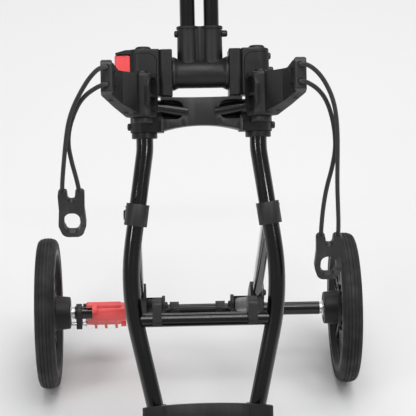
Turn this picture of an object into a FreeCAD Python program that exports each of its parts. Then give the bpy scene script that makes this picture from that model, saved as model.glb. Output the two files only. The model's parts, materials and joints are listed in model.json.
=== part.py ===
import FreeCAD, Part
import math
import os
from FreeCAD import Placement, Rotation, Vector

# A three-wheeled golf push cart, standing on the ground.
# Row frame: +Z up, the front wheel towards -Y, the person who pushes towards +Y. Millimetres.
# The main frame leans back. Its parts are drawn in the frame's own axes: x across the cart,
# y square to the frame with the bag on the -y side, z up along the frame, and the origin
# at the centre of the handle's hinge barrel. FRAME places them.

doc = FreeCAD.newDocument("golf_push_cart")
sheet = doc.addObject("Spreadsheet::Sheet", "sizes")

DRIVING_SIZES = (
    ("lean", 30, "lean of the main frame back from vertical, degrees"),
    ("hub_y", 106.5, "handle hinge, from the middle of the cart"),
    ("hub_z", 760, "handle hinge, above the ground"),
    ("tube_r", 14, "main frame tubes, outer radius"),
    ("wall", 2, "wall of every tube"),
    ("shoulder_x", 93, "frame tubes at the top, from the middle plane"),
    ("belly_x", 126, "frame tubes at their widest"),
    ("foot_x", 60, "frame tubes at the bottom"),
    ("barrel_r", 24, "hinge barrel of the handle, outer radius"),
    ("barrel_half", 45.5, "half the length of the hinge barrel"),
    ("hinge_r", 8, "hinge axle of the handle"),
    ("play", 0.05, "running clearance of every shaft, on the radius"),
    ("handle_tube_r", 12.5, "twin handle tubes"),
    ("handle_tube_x", 19.5, "twin handle tubes, from the middle plane"),
    ("handle_long", 292, "length of the twin handle tubes"),
    ("grip_r", 16, "foam grips"),
    ("bar_r", 11, "handlebar and latch bar"),
    ("arm_x", 95, "bag arm hinges, from the middle plane"),
    ("arm_y", -56, "bag arm hinges, in front of the frame"),
    ("arm_barrel_r", 24.5, "hinge barrel of a bag arm"),
    ("pin_r", 5, "hinge pins of the arms, legs and stays"),
    ("leg_pivot_z", -230, "rear leg pivots, along the frame"),
    ("leg_pivot_y", 60, "rear leg pivots, behind the frame"),
    ("leg_x", 112, "rear legs, from the middle plane"),
    ("stay_x", 78, "stays, from the middle plane"),
    ("latch_z", -403, "latch bar that the stays hook over, along the frame"),
    ("cross_r", 12.7, "rear crossbar"),
    ("cross_half", 240, "half the length of the rear crossbar"),
    ("stub_r", 6, "wheel axles"),
    ("rear_axle_y", 326.5, "rear axle"),
    ("rear_wheel_r", 147, "rear wheels, and the height of their axle"),
    ("rear_wheel_x", 290, "middle plane of a rear wheel"),
    ("front_axle_y", -353.5, "front axle"),
    ("front_wheel_r", 120, "front wheel, and the height of its axle"),
    ("cord_r", 3.5, "elastic cords"),
)
for row, (alias, number, meaning) in enumerate(DRIVING_SIZES, start=1):
    sheet.set(f"A{row}", alias)
    sheet.set(f"B{row}", str(number))
    sheet.setAlias(f"B{row}", alias)
    sheet.set(f"C{row}", meaning)
doc.recompute()

(LEAN, HUB_Y, HUB_Z, TUBE_R, WALL, SHOULDER_X, BELLY_X, FOOT_X, BARREL_R, BARREL_HALF, HINGE_R, PLAY,
 HANDLE_R, HANDLE_X, HANDLE_LONG, GRIP_R, BAR_R, ARM_X, ARM_Y, ARM_BARREL_R, PIN_R, LEG_PIVOT_Z,
 LEG_PIVOT_Y, LEG_X, STAY_X, LATCH_Z, CROSS_R, CROSS_HALF, STUB_R, REAR_Y, REAR_R, REAR_X, FRONT_Y,
 FRONT_R, CORD_R) = [float(sheet.get(alias)) for alias, _, _ in DRIVING_SIZES]

X_AXIS, Y_AXIS, Z_AXIS, ORIGIN = Vector(1, 0, 0), Vector(0, 1, 0), Vector(0, 0, 1), Vector()
ALONG_X = Rotation(Y_AXIS, 90)
SIDE_VIEW = Rotation(Vector(1, 1, 1), 120)
FRONT_VIEW = Rotation(X_AXIS, 90)

HUB = Vector(0, HUB_Y, HUB_Z)
FRAME = Placement(HUB, Rotation(X_AXIS, -LEAN))
REAR_AXLE = Vector(0, REAR_Y, REAR_R)
FRONT_AXLE = Vector(0, FRONT_Y, FRONT_R)
FRAME_TOP, FRAME_FOOT = 36, -655

LEG_PIVOT = FRAME.multVec(Vector(0, LEG_PIVOT_Y, LEG_PIVOT_Z))
LEG_RISE = LEG_PIVOT - REAR_AXLE
LEG_LONG = LEG_RISE.Length
LEG = Placement(REAR_AXLE, Rotation(X_AXIS, math.degrees(math.atan2(-LEG_RISE.y, LEG_RISE.z))))

STAY_PIVOT = REAR_AXLE + Vector(0, -40, 38)
STAY_ABOVE_BAR = 24
STAY_END = FRAME.multVec(Vector(0, 0, LATCH_Z + STAY_ABOVE_BAR))
STAY_RISE = STAY_END - STAY_PIVOT
STAY = Placement(STAY_PIVOT, Rotation(X_AXIS, math.degrees(math.atan2(-STAY_RISE.y, STAY_RISE.z))))

nodes = []


# ---------------------------------------------------------------- helpers: outlines and shapes

def corner(before, point, after, radius):
    """Where a rounded corner starts, its middle and where it ends."""
    back, on = (before - point).normalize(), (after - point).normalize()
    half = back.getAngle(on) / 2
    reach = radius / math.tan(half)
    centre = point + (back + on).normalize() * (radius / math.sin(half))
    return point + back * reach, centre + (point - centre).normalize() * radius, point + on * reach


def outline(points, radii=0):
    """Lines and arcs of a closed outline in the XY plane, with rounded corners."""
    count = len(points)
    spots = [Vector(x, y, 0) for x, y in points]
    if not isinstance(radii, (list, tuple)):
        radii = [radii] * count
    turns = []
    for i, spot in enumerate(spots):
        if radii[i]:
            turns.append(corner(spots[i - 1], spot, spots[(i + 1) % count], radii[i]))
        else:
            turns.append((spot, None, spot))
    parts = []
    for i, (start, middle, end) in enumerate(turns):
        if middle:
            parts.append(Part.Arc(start, middle, end))
        following = turns[(i + 1) % count][0]
        if (following - end).Length > 1e-6:
            parts.append(Part.LineSegment(end, following))
    return parts


def prism(curves, low, high, turn=Rotation()):
    """A closed outline pushed along its normal from low to high, then turned."""
    wire = Part.Wire([curve.toShape() for curve in curves])
    solid = Part.Face(wire).extrude(Vector(0, 0, high - low))
    solid.Placement = Placement(turn.multVec(Vector(0, 0, low)), turn)
    return Part.makeCompound([solid]).Solids[0]


def plan_slab(points, radii, low, high):
    """An (x, y) outline, from z low to z high."""
    return prism(outline(points, radii), low, high)


def front_slab(points, radii, front, back):
    """An (x, z) outline, from y front to y back."""
    return prism(outline(points, radii), -back, -front, FRONT_VIEW)


def side_slab(points, radii, left, right):
    """A (y, z) outline, from x left to x right."""
    return prism(outline(points, radii), left, right, SIDE_VIEW)


def box(x0, x1, y0, y1, z0, z1):
    return Part.makeBox(x1 - x0, y1 - y0, z1 - z0, Vector(x0, y0, z0))


def rod(radius, start, end):
    start, end = Vector(*start), Vector(*end)
    return Part.makeCylinder(radius, (end - start).Length, start, end - start)


def ring(outer, inner, start, end):
    return rod(outer, start, end).cut(rod(inner, start, end))


def headed(radius, rise, start, direction):
    """A round head standing on a face, its outer edge rounded off."""
    drum = Part.makeCylinder(radius, rise)
    top = [edge for edge in drum.Edges if edge.BoundBox.ZMin > rise / 2]
    drum = drum.makeFillet(0.6 * min(rise, radius), top).Solids[0]
    drum.Placement = Placement(Vector(*start), Rotation(Z_AXIS, Vector(*direction)))
    return drum


def eased(shape, radius, chosen):
    """The shape with its chosen edges rounded; chosen tests an edge's box."""
    edges = [edge for edge in shape.Edges if chosen(edge.BoundBox)]
    return shape.makeFillet(radius, edges)


def flat_at(height):
    """Tests for edges that lie in one of the planes z = height."""
    heights = height if isinstance(height, tuple) else (height,)
    return lambda b: b.ZLength < 1e-4 and any(abs(b.ZMin - level) < 1e-3 for level in heights)


def mirrored(shape):
    return shape.mirror(ORIGIN, X_AXIS)


def joined(shapes):
    whole = shapes[0].multiFuse(list(shapes[1:])).removeSplitter()
    return whole.Solids[0] if len(whole.Solids) == 1 else whole


# ---------------------------------------------------------------- helpers: document objects

def keep(made, label):
    """Names an object as one of the cart's nodes."""
    made.Label = label
    nodes.append(made)
    return made


def feature(label, shape, place=Placement()):
    made = doc.addObject("Part::Feature", label)
    made.Shape = shape
    made.Placement = place.multiply(made.Placement)
    return keep(made, label)


def primitive(kind, name, place, **sizes):
    """A Part primitive whose sizes are bound to expressions."""
    made = doc.addObject(kind, name)
    for size, text in sizes.items():
        made.setExpression(size, text)
    made.Placement = place
    return made


def boolean(kind, name, base, tool, place=Placement()):
    made = doc.addObject(kind, name)
    made.Base, made.Tool = base, tool
    made.Placement = place
    return made


def hollow_tube(label, radius, bore, length, place):
    """A straight tube along its own Z, its sizes bound to the sheet."""
    outside = primitive("Part::Cylinder", f"{label}_outside", place, Radius=radius, Height=length)
    inside = primitive("Part::Cylinder", f"{label}_inside", place, Radius=bore, Height=length)
    return boolean("Part::Cut", label, outside, inside)


def bunch(label, members):
    """Several separate pieces kept as one node."""
    made = doc.addObject("Part::Compound", label)
    made.Links = members
    return keep(made, label)


def origin_plane(body, role):
    return next(part for part in body.Origin.OriginFeatures if part.Role == role)


def drawn(body, name, curves, role):
    """A sketch of the given curves on one of the body's own origin planes."""
    sketch = body.newObject("Sketcher::SketchObject", name)
    sketch.AttachmentSupport = [(origin_plane(body, role), "")]
    sketch.MapMode = "FlatFace"
    for curve in curves:
        sketch.addGeometry(curve, False)
    return sketch


def revolved_body(name, curves):
    """A PartDesign body: an outline of (radius, height) turned about the body's Z."""
    body = doc.addObject("PartDesign::Body", name)
    profile = drawn(body, f"{name}_profile", curves, "XZ_Plane")
    turn = body.newObject("PartDesign::Revolution", f"{name}_turned")
    turn.Profile = profile
    turn.ReferenceAxis = (profile, ["V_Axis"])
    turn.Angle = 360
    return body


def padded_body(name, curves, length, place):
    """A PartDesign body: an outline in its XY plane, pushed up by a bound length."""
    body = doc.addObject("PartDesign::Body", name)
    profile = drawn(body, f"{name}_profile", curves, "XY_Plane")
    pad = body.newObject("PartDesign::Pad", f"{name}_pad")
    pad.Profile = profile
    pad.setExpression("Length", length)
    body.Placement = place
    return body


def patterned(body, kind, name, curves, copies, face=0, depth=None, upward=False):
    """A pocket or pad repeated round the body's Z: right through, or depth from a face."""
    sketch = drawn(body, f"{name}_sketch", curves, "XY_Plane")
    sketch.AttachmentOffset = Placement(Vector(0, 0, face), Rotation())
    cut = body.newObject(f"PartDesign::{kind}", name)
    cut.Profile = sketch
    if depth is None:
        cut.Type = "ThroughAll"
        cut.SideType = "Symmetric"
    else:
        cut.Length = depth
        cut.Reversed = upward
    repeat = body.newObject("PartDesign::PolarPattern", f"{name}_round")
    repeat.Originals = [cut]
    repeat.Axis = (sketch, ["N_Axis"])
    repeat.Angle = 360
    repeat.Occurrences = copies
    body.Tip = repeat


# ---------------------------------------------------------------- main frame tubes

def bend(points, radii):
    """Straight runs joined by tangent arcs, as one wire."""
    spots = [Vector(*point) for point in points]
    edges, start = [], spots[0]
    for before, spot, after, radius in zip(spots, spots[1:], spots[2:], radii):
        first, middle, last = corner(before, spot, after, radius)
        edges.append(Part.LineSegment(start, first).toShape())
        edges.append(Part.Arc(first, middle, last).toShape())
        start = last
    edges.append(Part.LineSegment(start, spots[-1]).toShape())
    return Part.Wire(edges)


SHOULDER_BEND, BELLY_BEND = (-125, 120), (-350, 420)


def frame_tube(label, side):
    """One bent tube: upright at the shoulder, widest at the belly, drawn in at the foot."""
    route = bend(
        [
            (side * SHOULDER_X, 0, FRAME_TOP),
            (side * SHOULDER_X, 0, SHOULDER_BEND[0]),
            (side * BELLY_X, 0, BELLY_BEND[0]),
            (side * FOOT_X, 0, FRAME_FOOT),
        ],
        (SHOULDER_BEND[1], BELLY_BEND[1]),
    )
    spine = doc.addObject("Part::Feature", f"{label}_spine")
    spine.Shape = route
    skins = []
    for name, radius in (("outside", "sizes.tube_r"), ("inside", "sizes.tube_r - sizes.wall")):
        start = Placement(Vector(side * SHOULDER_X, 0, FRAME_TOP), Rotation(X_AXIS, 180))
        section = primitive("Part::Circle", f"{label}_{name}_ring", start, Radius=radius)
        sweep = doc.addObject("Part::Sweep", f"{label}_{name}")
        sweep.Sections = [section]
        sweep.Spine = (spine, [f"Edge{i}" for i in range(1, len(route.Edges) + 1)])
        sweep.Solid = True
        skins.append(sweep)
    keep(boolean("Part::Cut", label, skins[0], skins[1], FRAME), label)
    doc.recompute()
    return skins[0].Shape.Solids[0]


tube_right_skin = frame_tube("frame_tube_r", -1)
tube_left_skin = frame_tube("frame_tube_l", 1)
TUBE_SKINS = (tube_right_skin, tube_left_skin)


def clear_of_tubes(shape):
    for skin in TUBE_SKINS:
        shape = shape.cut(skin)
    return shape.Solids[0] if len(shape.Solids) == 1 else shape


# ---------------------------------------------------------------- hinge housings at the shoulders

FLANGE_IN, FLANGE_OUT, HOUSING_TOP, HOUSING_BOTTOM = 46, 67, 39, -37
BUTTON_LOW, BUTTON_HIGH, BUTTON_FRONT, BUTTON_BACK, BUTTON_END = 0, 30, -20, 9.5, -139.5
POCKET_END, POCKET_GAP = -109, 1


def housing(outer_x):
    """A moulded block round the top of a frame tube, with a flange beside the hinge barrel."""
    block = plan_slab(
        [(FLANGE_OUT - 1, -29), (outer_x, -29), (outer_x, 29), (FLANGE_OUT - 1, 29)],
        [5, 20, 20, 5], HOUSING_BOTTOM, HOUSING_TOP)
    block = eased(block, 3, flat_at((HOUSING_BOTTOM, HOUSING_TOP)))
    flange = plan_slab(
        [(FLANGE_IN, -31), (FLANGE_OUT, -31), (FLANGE_OUT, 31), (FLANGE_IN, 31)],
        [3, 7, 7, 3], HOUSING_BOTTOM - 1, HOUSING_TOP - 1)
    flange = eased(flange, 2, flat_at((HOUSING_BOTTOM - 1, HOUSING_TOP - 1)))
    web = box(FLANGE_OUT - 6, FLANGE_OUT + 8, -26, 26, HOUSING_BOTTOM + 3, HOUSING_TOP - 4)
    solid = joined([block, flange, web])
    solid = solid.cut(rod(TUBE_R, (SHOULDER_X, 0, -60), (SHOULDER_X, 0, 60)))
    return solid.cut(rod(HINGE_R, (FLANGE_IN - 5, 0, 0), (FLANGE_OUT + 7, 0, 0)))


def button_guard():
    """A shelf, a back and a sloping lid round the release button, open to the front."""
    back = box(-133, -110, BUTTON_BACK + 0.5, 27, BUTTON_LOW - 8, BUTTON_HIGH + 4)
    lid = front_slab(
        [(-105, 38), (-121, 38), (-138, 33.5), (-138, 31), (-105, 31)], [0, 4, 1, 0.5, 0], -23, 27)
    shelf = front_slab(
        [(-108, -1), (-135, -1), (-131, -24), (-108, -34)], [0, 3, 10, 0], -23, 27)
    return [back, lid, shelf]


right_block = mirrored(housing(118))
right_block = joined([right_block] + button_guard())
right_block = right_block.cut(
    box(-130, POCKET_END, BUTTON_FRONT - POCKET_GAP, BUTTON_BACK + 0.5, -POCKET_GAP, BUTTON_HIGH + 1))
right_block = right_block.cut(rod(TUBE_R, (-SHOULDER_X, 0, -60), (-SHOULDER_X, 0, 60)))
feature("side_housing_r", right_block, FRAME)
feature("side_housing_l", housing(112), FRAME)

button = plan_slab(
    [(BUTTON_END, BUTTON_FRONT), (-114.5, BUTTON_FRONT), (-114.5, BUTTON_BACK), (BUTTON_END, BUTTON_BACK)],
    [5, 1, 1, 3], BUTTON_LOW, BUTTON_HIGH)
button = eased(button, 2.5, lambda b: b.XMax < BUTTON_END + 6 and b.ZLength < 1e-4)
SPRING_SEAT, SPRING_R = -127, 5
button = button.cut(rod(SPRING_R + 0.6, (SPRING_SEAT, -5, 15), (-110, -5, 15)))
feature("release_button", button, FRAME)
keep(hollow_tube("button_spring", "5", "3.6", "17.5",
                 FRAME.multiply(Placement(Vector(SPRING_SEAT + 0.2, -5, 15), ALONG_X))), "button_spring")


def tube_cap(side):
    """A rounded plug over the top of a frame tube."""
    return headed(TUBE_R - 0.3, HOUSING_TOP + 6 - FRAME_TOP, (side * SHOULDER_X, 0, FRAME_TOP), (0, 0, 1))


feature("tube_caps", Part.makeCompound([tube_cap(-1), tube_cap(1)]), FRAME)
hinge_axle = primitive(
    "Part::Cylinder", "hinge_axle", FRAME.multiply(Placement(Vector(-FLANGE_OUT - 6, 0, 0), ALONG_X)),
    Radius="sizes.hinge_r", Height=f"{2 * (FLANGE_OUT + 6)}")
keep(hinge_axle, "hinge_axle")


# ---------------------------------------------------------------- bag cradle between the tubes

CRADLE_TOP, CRADLE_HALF, CRADLE_BACK = -40, 66, 14
CLAMP_LOW, ARM_LOW, ARM_HIGH = -104, -73.8, -4
ROD_R = 10.5


def arc_block(half, front_middle, front_end, back, low, high):
    """A block whose front is hollowed by one arc, to fit a round bag."""
    arc = Part.Arc(Vector(-half, front_end, 0), Vector(0, front_middle, 0), Vector(half, front_end, 0))
    sides = [Vector(half, front_end, 0), Vector(half, back, 0), Vector(-half, back, 0),
             Vector(-half, front_end, 0)]
    lines = [Part.LineSegment(a, b) for a, b in zip(sides, sides[1:])]
    return prism([arc] + lines, low, high)


def cradle_rod(side):
    """A short bar that runs from the cradle's middle out to its clamp."""
    return rod(ROD_R, (side * 24, -14.5, -64), (side * 78, -23, -56))


def cradle_screws():
    heads = []
    for side in (-1, 1):
        heads.append(rod(3, (side * 29, -20, -80.5), (side * 29, -25, -80.5)))
        heads.append(rod(3, (side * 58, -26, -86.5), (side * 58, -35, -86.5)))
    return heads


def cradle():
    block = arc_block(CRADLE_HALF, -20, -38, CRADLE_BACK, -100, CRADLE_TOP)
    under = Part.Arc(Vector(CRADLE_HALF, -95, 0), Vector(0, -85, 0), Vector(-CRADLE_HALF, -95, 0))
    frontal = [Vector(-CRADLE_HALF, -95, 0), Vector(-CRADLE_HALF, CRADLE_TOP, 0),
               Vector(CRADLE_HALF, CRADLE_TOP, 0), Vector(CRADLE_HALF, -95, 0)]
    lines = [Part.LineSegment(a, b) for a, b in zip(frontal, frontal[1:])]
    block = block.common(prism([under] + lines, -60, 60, FRONT_VIEW))
    for side in (-1, 1):
        slot = front_slab([(28, -76), (72, -76), (72, -45), (28, -45)], [15, 0, 0, 15], -60, 0)
        block = block.cut(slot if side > 0 else mirrored(slot))
    parts = [block]
    for side in (-1, 1):
        clamp = plan_slab([(61, -20), (116, -20), (116, 20), (61, 20)], [4, 19.9, 19.9, 8],
                          CLAMP_LOW + 8, CRADLE_TOP - 4)
        clamp = eased(clamp, 2.5, flat_at((CRADLE_TOP - 4,)))
        lip = rod(TUBE_R + 7, (SHOULDER_X, 0, CLAMP_LOW - 1.5), (SHOULDER_X, 0, CLAMP_LOW + 8))
        lip = eased(lip, 1.5, flat_at((CLAMP_LOW - 1.5, CLAMP_LOW + 8)))
        tongue = plan_slab([(79, -10), (79, -72), (111, -72), (111, -10)], [0, 15.9, 15.9, 0],
                           -82.5, ARM_LOW - 0.4)
        group = joined([clamp, lip, tongue])
        parts.append(group if side > 0 else mirrored(group))
    whole = joined(parts)
    for side in (-1, 1):
        whole = whole.cut(rod(PIN_R, (side * ARM_X, ARM_Y, -90), (side * ARM_X, ARM_Y, -70)))
        whole = whole.cut(cradle_rod(side))
    for head in cradle_screws():
        whole = whole.cut(head)
    return clear_of_tubes(whole)


feature("cradle", cradle(), FRAME)
feature("cradle_rods", Part.makeCompound([cradle_rod(-1), cradle_rod(1)]), FRAME)


def arm_pin(side):
    """The hinge pin of one bag arm, with a broad head above the arm."""
    low, top = -82.5, ARM_HIGH + 0.5
    shank = rod(PIN_R, (side * ARM_X, ARM_Y, low), (side * ARM_X, ARM_Y, top))
    return joined([shank, headed(9, 4, (side * ARM_X, ARM_Y, top), (0, 0, 1))])


feature("arm_pins", Part.makeCompound([arm_pin(-1), arm_pin(1)]), FRAME)


def frame_bolts():
    bolts = cradle_screws()
    for side in (-1, 1):
        bolts.append(headed(6, 5, (side * 116, 0, -86), (side, 0, 0)))
    bolts.append(headed(5.5, 4, (112, 0, 27), (1, 0, 0)))
    bolts.append(headed(5.5, 8, (112, 0, 4), (1, 0, 0)))
    return bolts


feature("frame_bolts", Part.makeCompound(frame_bolts()), FRAME)


# ---------------------------------------------------------------- lower part of the main frame

def tube_centre_x(height):
    """How far a frame tube's axis is from the middle plane, at a height along the frame."""
    stations = ((SHOULDER_BEND[0], SHOULDER_X), (BELLY_BEND[0], BELLY_X), (FRAME_FOOT, FOOT_X))
    for (upper, x_upper), (lower, x_lower) in zip(stations, stations[1:]):
        if lower <= height <= upper:
            return x_upper + (x_lower - x_upper) * (upper - height) / (upper - lower)
    return SHOULDER_X


LEG_HALF, EAR = 9, 5


def leg_bracket(side):
    """A collar on a frame tube with two ears behind it, which hold a rear leg's pivot."""
    x = tube_centre_x(LEG_PIVOT_Z)
    collar = rod(TUBE_R + 5, (x + 2.6, 0, LEG_PIVOT_Z - 18), (x - 2.6, 0, LEG_PIVOT_Z + 18))
    parts = [collar]
    for inner in (LEG_X - LEG_HALF - 0.5 - EAR, LEG_X + LEG_HALF + 0.5):
        ear = side_slab(
            [(4, LEG_PIVOT_Z - 16), (LEG_PIVOT_Y + 12, LEG_PIVOT_Z - 12),
             (LEG_PIVOT_Y + 12, LEG_PIVOT_Z + 12), (4, LEG_PIVOT_Z + 16)],
            [0, 11.5, 11.5, 0], inner, inner + EAR)
        parts.append(ear)
    bridge = box(LEG_X - LEG_HALF - EAR, LEG_X + LEG_HALF + EAR, 12, 24,
                 LEG_PIVOT_Z - 15, LEG_PIVOT_Z + 15)
    whole = joined(parts + [bridge])
    whole = whole.cut(rod(PIN_R, (80, LEG_PIVOT_Y, LEG_PIVOT_Z), (140, LEG_PIVOT_Y, LEG_PIVOT_Z)))
    return clear_of_tubes(whole if side > 0 else mirrored(whole))


feature("leg_brackets", Part.makeCompound([leg_bracket(-1), leg_bracket(1)]), FRAME)


def leg_pin(side):
    """The pivot pin of one rear leg, headed outside its bracket."""
    inner, outer = LEG_X - LEG_HALF - 0.5 - EAR, LEG_X + LEG_HALF + 0.5 + EAR
    shank = rod(PIN_R, (side * inner, LEG_PIVOT_Y, LEG_PIVOT_Z), (side * outer, LEG_PIVOT_Y, LEG_PIVOT_Z))
    outside = headed(9, 5, (side * outer, LEG_PIVOT_Y, LEG_PIVOT_Z), (side, 0, 0))
    return joined([shank, outside])


feature("leg_pins", Part.makeCompound([leg_pin(-1), leg_pin(1)]), FRAME)

latch_bar = clear_of_tubes(rod(BAR_R, (-tube_centre_x(LATCH_Z), 0, LATCH_Z),
                               (tube_centre_x(LATCH_Z), 0, LATCH_Z)))
feature("latch_bar", latch_bar, FRAME)

FOOT_LOW, FOOT_HIGH = -666, -618
TRAY_LOW, TRAY_TOP, TRAY_HALF, TRAY_FRONT = -648, -642, 92, -186


def foot_casting():
    """A block that joins the lower ends of the frame tubes and carries the fork and tray."""
    block = front_slab(
        [(-82, FOOT_LOW + 8), (-60, FOOT_LOW), (60, FOOT_LOW), (82, FOOT_LOW + 8),
         (88, FOOT_HIGH), (-88, FOOT_HIGH)], [8, 8, 8, 8, 8, 8], -16, 20)
    return clear_of_tubes(block)


feature("foot_casting", foot_casting(), FRAME)


def bag_tray():
    """The shelf that the bag stands on, with a low rim round its front."""
    shape = [(-TRAY_HALF, -16), (-TRAY_HALF, TRAY_FRONT), (TRAY_HALF, TRAY_FRONT), (TRAY_HALF, -16)]
    floor = plan_slab(shape, [0, 60, 60, 0], TRAY_LOW, TRAY_TOP)
    wall = plan_slab(shape, [0, 60, 60, 0], TRAY_TOP, TRAY_TOP + 16)
    inner = [(-TRAY_HALF + 4, -12), (-TRAY_HALF + 4, TRAY_FRONT + 4),
             (TRAY_HALF - 4, TRAY_FRONT + 4), (TRAY_HALF - 4, -12)]
    wall = wall.cut(plan_slab(inner, [0, 56, 56, 0], TRAY_TOP, TRAY_TOP + 17))
    return joined([floor, wall])


feature("bag_tray", bag_tray(), FRAME)

LOWER_Z, LOWER_HALF_TALL = -560, 22


def lower_cradle():
    """A shallow curved saddle across the tubes, for the lower part of the bag."""
    band = arc_block(104, -22, -74, 30, LOWER_Z - LOWER_HALF_TALL, LOWER_Z + LOWER_HALF_TALL)
    band = band.cut(arc_block(125, -14, -86, 60, LOWER_Z - 40, LOWER_Z + 40))
    x = tube_centre_x(LOWER_Z)
    parts = [band]
    for side in (-1, 1):
        collar = rod(TUBE_R + 4.5, (side * (x - 3.3), 0, LOWER_Z - 15), (side * (x + 3.3), 0, LOWER_Z + 15))
        link = box(x - 10, x + 10, -44, -6, LOWER_Z - 13, LOWER_Z + 13)
        parts += [collar, link if side > 0 else mirrored(link)]
    return clear_of_tubes(joined(parts))


feature("lower_cradle", lower_cradle(), FRAME)

FORK_IN, FORK_OUT = 34, 42
axle_in_frame = FRAME.inverse().multVec(FRONT_AXLE)


def fork_arm(side):
    """One flat arm of the front fork, from the foot casting to the front axle."""
    y, z = axle_in_frame.y, axle_in_frame.z
    arm = side_slab(
        [(-16, FOOT_LOW), (20, FOOT_LOW), (22, FOOT_LOW - 40), (y + 14, z - 17), (y - 17, z - 14),
         (y - 14, z + 22)], [0, 0, 25, 16, 16, 14], FORK_IN, FORK_OUT)
    arm = arm.cut(rod(STUB_R, (0, y, z), (60, y, z)))
    return arm if side > 0 else mirrored(arm)


feature("front_fork", Part.makeCompound([fork_arm(-1), fork_arm(1)]), FRAME)


def axle_with_heads(half):
    """A wheel axle across the fork, headed outside both arms."""
    heads = [headed(10, 6, (side * half, 0, 0), (side, 0, 0)) for side in (-1, 1)]
    return joined([rod(STUB_R, (-half, 0, 0), (half, 0, 0))] + heads)


feature("front_axle", axle_with_heads(FORK_OUT), Placement(FRONT_AXLE, Rotation()))


# ---------------------------------------------------------------- handle

SOCKET_TOP, SOCKET_R, TUBE_SEAT = 77, 17, 30


def hub():
    """The T-shaped hinge piece: a barrel across, and two sockets for the handle tubes."""
    half, flare = BARREL_HALF, BARREL_R + 3.5
    barrel = rod(BARREL_R, (-half, 0, 0), (half, 0, 0))
    parts = [barrel]
    for side in (-1, 1):
        cone = Part.makeCone(BARREL_R, flare, 7, Vector(side * (half - 9.5), 0, 0), Vector(side, 0, 0))
        parts += [cone, rod(flare, (side * (half - 2.5), 0, 0), (side * half, 0, 0))]
        x = side * HANDLE_X
        socket = Part.makeCone(SOCKET_R + 1, SOCKET_R, SOCKET_TOP, Vector(x, 0, 0), Z_AXIS)
        rim = rod(SOCKET_R + 1.5, (x, 0, SOCKET_TOP - 5), (x, 0, SOCKET_TOP))
        parts += [socket, eased(rim, 1.2, flat_at((SOCKET_TOP - 5, SOCKET_TOP)))]
    parts.append(box(-HANDLE_X, HANDLE_X, -12, 12, 0, SOCKET_TOP - 3))
    parts.append(box(-2, 2, -15, 15, 15, SOCKET_TOP - 1))
    whole = joined(parts)
    whole = whole.cut(rod(HINGE_R + PLAY, (-half, 0, 0), (half, 0, 0)))
    for side in (-1, 1):
        whole = whole.cut(rod(HANDLE_R, (side * HANDLE_X, 0, TUBE_SEAT), (side * HANDLE_X, 0, 90)))
    return whole


feature("hub", hub(), FRAME)
bunch("handle_tubes", [
    hollow_tube(f"handle_tube_{name}", "sizes.handle_tube_r", "sizes.handle_tube_r - sizes.wall",
                "sizes.handle_long",
                FRAME.multiply(Placement(Vector(side * HANDLE_X, 0, TUBE_SEAT), Rotation())))
    for name, side in (("r", -1), ("l", 1))])
HUB_BOLT_Z = 65
feature("hub_bolts", Part.makeCompound([
    headed(5.5, 9, (HANDLE_X + SOCKET_R + 0.2, 0, HUB_BOLT_Z), (1, 0, 0)),
    headed(5.5, 5, (-HANDLE_X - SOCKET_R - 0.2, 0, HUB_BOLT_Z), (-1, 0, 0))]), FRAME)

BAR_Z, BAR_HALF, HEAD_HALF, GRIP_IN, GRIP_END = 342, 157, 44, 54, 160
TUBE_END = TUBE_SEAT + HANDLE_LONG


def handle_head():
    """The casting that joins the twin tubes to the handlebar."""
    block = front_slab(
        [(-HEAD_HALF, BAR_Z + 17), (HEAD_HALF, BAR_Z + 17), (HEAD_HALF, BAR_Z - 17), (36, 300), (-36, 300),
         (-HEAD_HALF, BAR_Z - 17)], [14, 14, 10, 6, 6, 10], -17, 17)
    block = eased(block, 3, lambda b: b.YLength < 1e-4 and abs(abs(b.YMin) - 17) < 1e-3)
    block = block.cut(rod(BAR_R, (-60, 0, BAR_Z), (60, 0, BAR_Z)))
    for side in (-1, 1):
        block = block.cut(rod(HANDLE_R, (side * HANDLE_X, 0, 290), (side * HANDLE_X, 0, TUBE_END)))
    return block


feature("handle_head", handle_head(), FRAME)
keep(hollow_tube("handlebar", "sizes.bar_r", "sizes.bar_r - sizes.wall", f"{2 * BAR_HALF}",
                 FRAME.multiply(Placement(Vector(-BAR_HALF, 0, BAR_Z), ALONG_X))), "handlebar")


def grip_profile():
    """Half of a foam grip's section, closed over the end of the bar."""
    points = [(BAR_R, GRIP_IN), (GRIP_R, GRIP_IN), (GRIP_R, GRIP_END), (0, GRIP_END), (0, BAR_HALF),
              (BAR_R, BAR_HALF)]
    return outline(points, [0, 2.5, 4, 0, 0, 0])


grips = []
for name, side in (("r", -1), ("l", 1)):
    grip = revolved_body(f"grip_{name}", grip_profile())
    grip.Placement = FRAME.multiply(Placement(Vector(0, 0, BAR_Z), Rotation(Y_AXIS, 90 * side)))
    grips.append(grip)
bunch("grips", grips)

CONSOLE_HALF, CONSOLE_FRONT, CONSOLE_BACK, CONSOLE_LOW, CONSOLE_HIGH = 68, 112, 196, 944, 986
SOCKET_X, SOCKET_Y, SOCKET_BORE, SOCKET_LOW, SOCKET_HIGH = 88, 156, 11, 926, 986
LID_HINGE_Y, LID_HINGE_Z, LID_PIN_R = CONSOLE_FRONT - 4.6, CONSOLE_HIGH + 1, 2


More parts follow.
